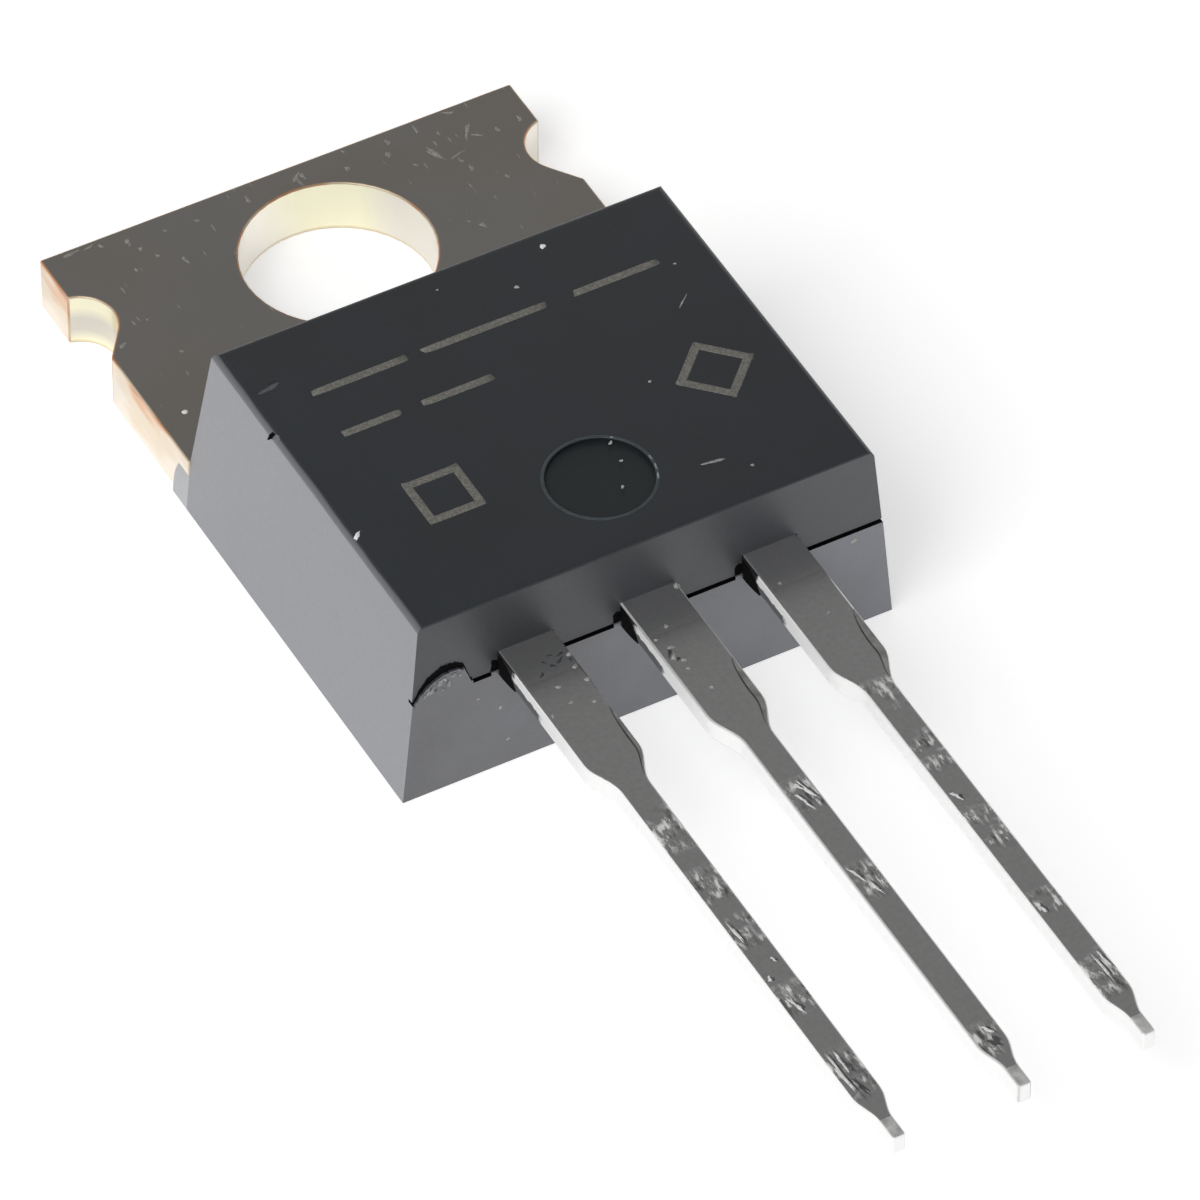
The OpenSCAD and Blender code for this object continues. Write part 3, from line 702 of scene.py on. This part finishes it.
# Small marks in the places where the photograph shows them, one entry for each piece. Heights that all the
# rows of a piece share stand under tall
marks = {
    "frontChips": {"on": onFront, "finish": "bright_chip", "seed": 5, "rows": [
        (1.97, -4.52, 0.07, 0.05, 20, 0.02), (-4.585, -9.53, 0.125, 0.04, 43, 0.03)]},
    "frontDust": {"on": onFront, "finish": "pale_dust", "seed": 6, "rows": [
        (1.03, -5.24, 0.05, 0.04, 0, 0.01), (0.6, -9.65, 0.05, 0.03, 40, 0.01),
        (0.55, -10.15, 0.035, 0.03, 0, 0.008), (0.25, -10.75, 0.04, 0.03, 60, 0.008),
        (2.0, -8.6, 0.035, 0.03, 0, 0.01), (2.6, -11.4, 0.035, 0.03, 0, 0.01),
        (-0.3, -4.6, 0.03, 0.02, 0, 0.008), (3.9, -6.1, 0.03, 0.025, 0, 0.008)]},
    # Nick in the left edge, a near-black pebble as painted shade in its hollow, and the lip that stands up
    # beside it
    "edgeNick": {"on": onSlant, "finish": "shaded_gap", "seed": 15, "rows": [
        (6.43, -0.055, 0.06, 0.085, -15, 0.012)]},
    "nickLip": {"on": onSlant, "finish": "worn_compound_edge", "seed": 16, "rows": [
        (6.575, 0.03, 0.075, 0.035, 10, 0.008)]},
    "edgeScratch": {"on": onFront, "finish": "faint_scratch", "seed": 19, "rows": [
        (-4.23, -5.4, 0.22, 0.05, 13, 0.006)]},
    # Painted shade: a dark streak on the front beside its rounded left edge
    "edgeShade": {"on": onFront, "finish": "ejector_pin_print", "seed": 20, "rows": [
        (-4.12, -5.27, 0.12, 0.03, 17, 0.004)]},
    "frontScratches": {"on": onFront, "finish": "raised_scratch", "seed": 7, "rows": [
        (2.02, -10.98, 0.26, 0.03, -8, 0.01), (3.55, -7.05, 0.22, 0.015, 40, 0.006)]},
    "tabChips": {"on": onTab, "finish": "bright_chip", "slot": "plated_copper", "rough": 0.1, "seed": 8,
                 "rows": [(-4.51, -2.4, 0.06, 0.055, 0, 0.02)]},
    "tabSpecks": {"on": onTab, "finish": "dust_on_nickel", "slot": "plated_copper", "rough": 0.7, "seed": 9,
                  "tall": 0.006, "rows": [
        (-4.46, 2.4, 0.21, 0.03, 3), (-4.07, 2.4, 0.09, 0.03, 16), (-3.87, 2.32, 0.07, 0.03, -51),
        (-3.37, 2.16, 0.13, 0.035, -94), (-3.24, 1.89, 0.06, 0.035, -83), (-3.04, 1.57, 0.05, 0.03, -83),
        (-2.61, 2.1, 0.04, 0.03, -83), (-2.63, 1.22, 0.12, 0.03, -86), (-1.95, 2.06, 0.05, 0.035, -54),
        (-3.57, 1.42, 0.05, 0.03, -69), (-4.0, 0.12, 0.03, 0.025, -92), (-4.72, -0.27, 0.08, 0.045, 14),
        (-3.82, -0.94, 0.04, 0.035, -64), (-0.84, 2.1, 0.11, 0.03, -99), (0.25, 2.21, 0.15, 0.03, 36),
        (0.38, 2.17, 0.13, 0.03, -83), (1.37, 2.4, 0.04, 0.03, -59), (1.22, 1.95, 0.06, 0.04, -72),
        (2.24, 2.22, 0.06, 0.05, -64), (2.09, 1.91, 0.09, 0.045, -103), (2.87, 2.27, 0.09, 0.035, -88),
        (2.88, 1.51, 0.26, 0.05, -73), (2.41, 1.41, 0.05, 0.03, -69), (3.25, 1.28, 0.17, 0.025, 10),
        (3.23, 1.11, 0.08, 0.025, -79), (3.31, 0.83, 0.09, 0.04, -95), (3.72, 1.77, 0.27, 0.03, 57),
        (3.83, 1.58, 0.12, 0.025, -29), (4.25, 1.53, 0.08, 0.035, -97), (3.81, 0.3, 0.05, 0.04, -91),
        (4.76, 1.6, 0.08, 0.04, -84), (3.65, 2.38, 0.13, 0.03, -20), (3.2, 1.97, 0.05, 0.025, -74),
        (2.75, -0.64, 0.06, 0.035, -96), (3.33, -0.1, 0.04, 0.025, -84), (2.57, -0.43, 0.04, 0.02, -84)]},
    # Crumbs and smears of resin on the leads next to the moulding
    "leadCrumbs": {"on": onLeads, "finish": "resin_crumbs", "seed": 10, "rows": [
        (-2.02, -12.86, 0.06, 0.05, 0, 0.04), (-2.07, -13.18, 0.06, 0.045, 30, 0.03),
        (-2.03, -13.57, 0.06, 0.05, 0, 0.03), (-2.17, -14.12, 0.05, 0.045, 0, 0.02),
        (-2.56, -13.94, 0.06, 0.035, 40, 0.02), (-3.02, -14.09, 0.05, 0.03, 60, 0.02),
        (-2.58, -13.5, 0.07, 0.035, -20, 0.02), (-0.13, -13.09, 0.05, 0.045, 0, 0.03),
        (-0.37, -13.82, 0.1, 0.05, 60, 0.04), (-0.31, -13.6, 0.07, 0.04, -30, 0.04),
        (-0.25, -13.98, 0.06, 0.05, 0, 0.04), (-0.46, -13.31, 0.04, 0.035, 0, 0.02),
        (-0.29, -14.21, 0.04, 0.035, 0, 0.02), (-0.14, -14.83, 0.05, 0.04, 0, 0.02),
        (0.53, -12.29, 0.07, 0.05, 0, 0.06), (2.22, -13.13, 0.04, 0.035, 0, 0.02),
        (2.64, -14.2, 0.05, 0.03, 30, 0.015)]},
    "resinSmears": {"on": onLeads, "finish": "dark_resin_smear", "rough": 0.8, "seed": 11, "tall": 0.006,
                    "rows": [
        (-2.16, -12.78, 0.07, 0.03, 15), (-2.25, -12.93, 0.08, 0.035, 50), (-2.42, -12.98, 0.06, 0.03, -10),
        (-2.06, -13.0, 0.05, 0.03, 80), (-2.52, -12.84, 0.05, 0.025, -60), (-2.36, -12.72, 0.06, 0.022, -25),
        (-2.7, -13.1, 0.06, 0.03, 30), (-0.4, -13.72, 0.09, 0.04, 50), (-0.33, -13.92, 0.05, 0.03, 20)]},
    "tornTin": {"on": onLeads, "finish": "torn_tin_plate", "slot": "tinned_leads", "rough": 0.8, "seed": 17,
                "tall": tear["tall"], "rows": tear["streaks"]},
    "tinDents": {"on": onLeads, "finish": "dented_tin_plate", "slot": "tinned_leads", "rough": 0.8,
                 "seed": 18, "tall": tear["dentTall"], "rows": [*dents, *tear["alone"]]},
}


# Adds the pebbles of one entry
def addMark(name, mark):
    rows = [(*row, mark["tall"]) for row in mark["rows"]] if "tall" in mark else mark["rows"]
    addPebbles(name, rows, mark["on"], finishes[mark["finish"]],
               rough=mark.get("rough", 0.35), seed=mark["seed"])


for name, mark in marks.items():
    addMark(name, mark)

# Burr where the tie bar was cropped off the right side of each shoulder: a band along the edge, paler as a
# painted highlight of the rolled edge, with a dark crease of painted shade beside it. The edge follows the
# shoulder, half a cosine wave from the wide to the narrow part.
# Lengths run from the hole's middle towards the tips, and share says how wide each lead's burr is
burr = {
    "start": 14.35, "end": 16.15, "wide": 0.13, "tall": 0.004,
    "crease": 0.03, "gap": 0.002, "creaseTall": 0.003,
    "shoulder": 15.415, "shoulderLong": 0.95, "halfWide": 0.58, "step": 0.14, "inset": 0.035,
    "share": {"gate": 0.5, "drain": 0.9, "source": 1.15},
}
v = np.linspace(burr["start"], burr["end"], 40)
shoulder = np.clip((v - burr["shoulder"]) / burr["shoulderLong"], 0, 1)
edge = burr["halfWide"] - burr["step"] * (1 - np.cos(math.pi * shoulder)) - burr["inset"]
swell = np.sin(math.pi * (v - burr["start"]) / (burr["end"] - burr["start"])) ** 0.6
for label, x in leadPlaces:
    onLead = ((x, 0, part["leadTop"]), (0, -1, 0), (1, 0, 0), (0, 0, 1))
    inner = edge - burr["wide"] * burr["share"][label] * swell
    addBand(label + "Burr", v, inner, edge, burr["tall"], onLead, finishes["cropped_burr_painted_highlight"])
    addBand(label + "Crease", v, inner - burr["crease"] * swell - burr["gap"], inner, burr["creaseTall"],
            onLead, finishes["burr_crease"])

# Broken flash left of the gate lead: a ragged plate of the lower half's compound that rises above the
# parting line, a near-black band over it as painted shadow, and the bright crumbs of the break
flash = {
    "reach": (-4.87, -3.66), "foot": 2.36, "under": 0.03, "proud": 0.055, "raggedShare": 0.6,
    "gap": 0.11, "shadowLeast": 0.01, "shadowUnder": 0.05, "shadowTall": 0.004,
    "x": (-4.87, -4.72, -4.5, -4.2, -3.85, -3.7), "z": (2.47, 2.72, 2.9, 3.02, 2.98, 2.55),
    "waves": ((0.02, 23, 0.0), (0.015, 41, 1.0), (0.01, 67, 0.0)),  # height in mm, turn per mm, phase
}
u = np.linspace(*flash["reach"], 60)
ragged = sum(high * np.sin(often * u + phase) for high, often, phase in flash["waves"])
rise = np.interp(u, flash["x"], flash["z"]) + ragged * flash["raggedShare"]
top = rise - flash["under"] - np.abs(ragged)
addBand("brokenFlash", u, 0 * u + flash["foot"], top, flash["proud"], onEnd, mouldEndLower)
# Painted shadow over the flash: a near-black band, gap high in its middle
opening = flash["gap"] * np.sin(math.pi * np.linspace(0.08, 1, len(u))) + flash["shadowLeast"]
addBand("flashShadow", u, rise - flash["shadowUnder"], rise + opening, flash["shadowTall"], onEnd, gapShade)
addMark("flashCrumbs", {"on": onEnd, "finish": "broken_compound", "rough": 0.6, "seed": 12, "rows": [
    (-4.53, 2.66, 0.14, 0.06, 35, 0.11), (-4.34, 2.79, 0.11, 0.05, 30, 0.11),
    (-4.16, 2.68, 0.08, 0.06, 70, 0.12), (-4.06, 2.86, 0.1, 0.04, 15, 0.1),
    (-4.67, 2.57, 0.08, 0.04, 50, 0.09), (-4.42, 2.62, 0.05, 0.04, 0, 0.1),
    (-4.24, 2.84, 0.05, 0.035, 60, 0.11), (-4.58, 2.74, 0.06, 0.03, 40, 0.09),
    (-3.93, 2.8, 0.06, 0.035, -20, 0.09), (-4.28, 2.6, 0.06, 0.03, 10, 0.09)]})

# Painted shade at each lead's root: a near-black patch for the shaded gap left of it at the moulding, and a
# near-black band along the foot of its wall, partly bled resin and partly painted shade
roots = {
    "gapRow": (-0.66, 2.565, 0.095, 0.205, -4, 0.022),  # from the lead's middle
    "wall": -0.58, "reach": (12.15, 12.85), "foot": (2.385, 0.11), "head": (2.86, -0.3), "tall": 0.006,
}
rows = [(x + roots["gapRow"][0], *roots["gapRow"][1:]) for label, x in leadPlaces]
addPebbles("rootGapShades", rows, onRoot, gapShade, square=4, crown=8, rough=0.3, seed=13)
u = np.linspace(*roots["reach"], 24)
thin = (u - u[0]) / (u[-1] - u[0])
low, high = roots["foot"][0] + roots["foot"][1] * thin ** 2, roots["head"][0] + roots["head"][1] * thin ** 3
for label, x in leadPlaces:
    onWall = ((x + roots["wall"], 0, 0), (0, -1, 0), (0, 0, 1), (-1, 0, 0))
    addBand(label + "RootResinAndShade", u, low, high, roots["tall"], onWall, gapShade)
addMark("endDust", {"on": onLowerEnd, "finish": "pale_dust", "seed": 14, "rows": [
    (4.31, 2.22, 0.1, 0.045, 20, 0.012), (-3.55, 1.95, 0.03, 0.025, 0, 0.01),
    (-2.95, 0.6, 0.05, 0.03, 20, 0.01), (-3.1, 1.5, 0.05, 0.03, 70, 0.01)]})
print("marks, dust and crumbs placed")

# Camera, solved from the photograph
cameraFit = {
    "place": (-0.07712, -0.15178, 0.16682),
    "right": (0.87754, -0.47950, -0.00087),
    "up": (0.34437, 0.62896, 0.69701),
    "back": (-0.33366, -0.61195, 0.71706),
    "lens": 375.92,  # mm on a 36 mm sensor
}
lensData = bpy.data.cameras.new("camera")
lensData.lens = cameraFit["lens"]
lensData.sensor_width = 36
lensData.clip_start, lensData.clip_end = 0.005, 5
camera = bpy.data.objects.new("camera", lensData)
axes = Matrix((cameraFit["right"], cameraFit["up"], cameraFit["back"])).transposed().to_4x4()
camera.matrix_world = Matrix.Translation(cameraFit["place"]) @ axes
scene.collection.objects.link(camera)
scene.camera = camera

# White sweep, a dim ceiling and one soft box to the front left, in metres and watts. Flat tops mirror the
# ceiling at the back, walls mirror the floor
studio = {
    "floor": "#f0f0f0", "floorGlow": 0.50, "floorSize": 3.0, "floorZ": -1e-5,
    "horizon": 0.9, "ceiling": 0.2,  # strengths, and the z of their directions
    "horizonUp": 0.05, "ceilingUp": 0.68,
    "keyPlace": (-0.20, -0.1, 0.25), "keyAim": (0, -0.01, 0), "keySize": 0.20, "keyPower": 0.55,
}
half = studio["floorSize"] / 2
floorMesh = bpy.data.meshes.new("floor")
floorMesh.from_pydata([(x, y, studio["floorZ"]) for x, y in ((-half, -half), (half, -half), (half, half),
                                                             (-half, half))], [], [(0, 1, 2, 3)])
floor = bpy.data.objects.new("floor", floorMesh)
scene.collection.objects.link(floor)
# White paper that also glows a little where the camera or a mirroring face sees it
floorMaterial = bpy.data.materials.new("white_paper_sweep")
floorMaterial.use_nodes = True
tree = floorMaterial.node_tree
tree.nodes.clear()
rays = addNode(tree, "LightPath")
seen = rays["Is Camera Ray"]
for kind in ("Is Glossy Ray", "Is Transmission Ray"):
    seen = addNode(tree, "Math", {0: seen, 1: rays[kind]}, operation="MAXIMUM")[0]
glow = addNode(tree, "Math", {0: seen, 1: studio["floorGlow"]}, operation="MULTIPLY")[0]
paper = addNode(tree, "BsdfDiffuse", {"Color": toLinear(studio["floor"])})[0]
light = addNode(tree, "Emission", {"Color": (1, 1, 1, 1), "Strength": glow})[0]
both = addNode(tree, "AddShader", {0: paper, 1: light})[0]
addNode(tree, "OutputMaterial", {"Surface": both})
floorMesh.materials.append(floorMaterial)

world = bpy.data.worlds.new("studio")
scene.world = world
world.use_nodes = True
tree = world.node_tree
tree.nodes.clear()
direction = addNode(tree, "TexCoord")["Generated"]
height = addNode(tree, "SeparateXYZ", {0: direction})["Z"]
level = addNode(tree, "MapRange", {"Value": height, 1: studio["horizonUp"], 2: studio["ceilingUp"],
                                   3: studio["horizon"], 4: studio["ceiling"]})[0]
sky = addNode(tree, "Background", {"Color": (1, 1, 1, 1), "Strength": level})[0]
addNode(tree, "OutputWorld", {"Surface": sky})

keyData = bpy.data.lights.new("soft_box", "AREA")
keyData.size = studio["keySize"]
keyData.energy = studio["keyPower"]
key = bpy.data.objects.new("soft_box", keyData)
key.location = studio["keyPlace"]
aim = Vector(studio["keyAim"]) - Vector(studio["keyPlace"])
key.rotation_euler = aim.to_track_quat("-Z", "Y").to_euler()
scene.collection.objects.link(key)
scene.view_settings.view_transform = "Standard"
print("studio set")
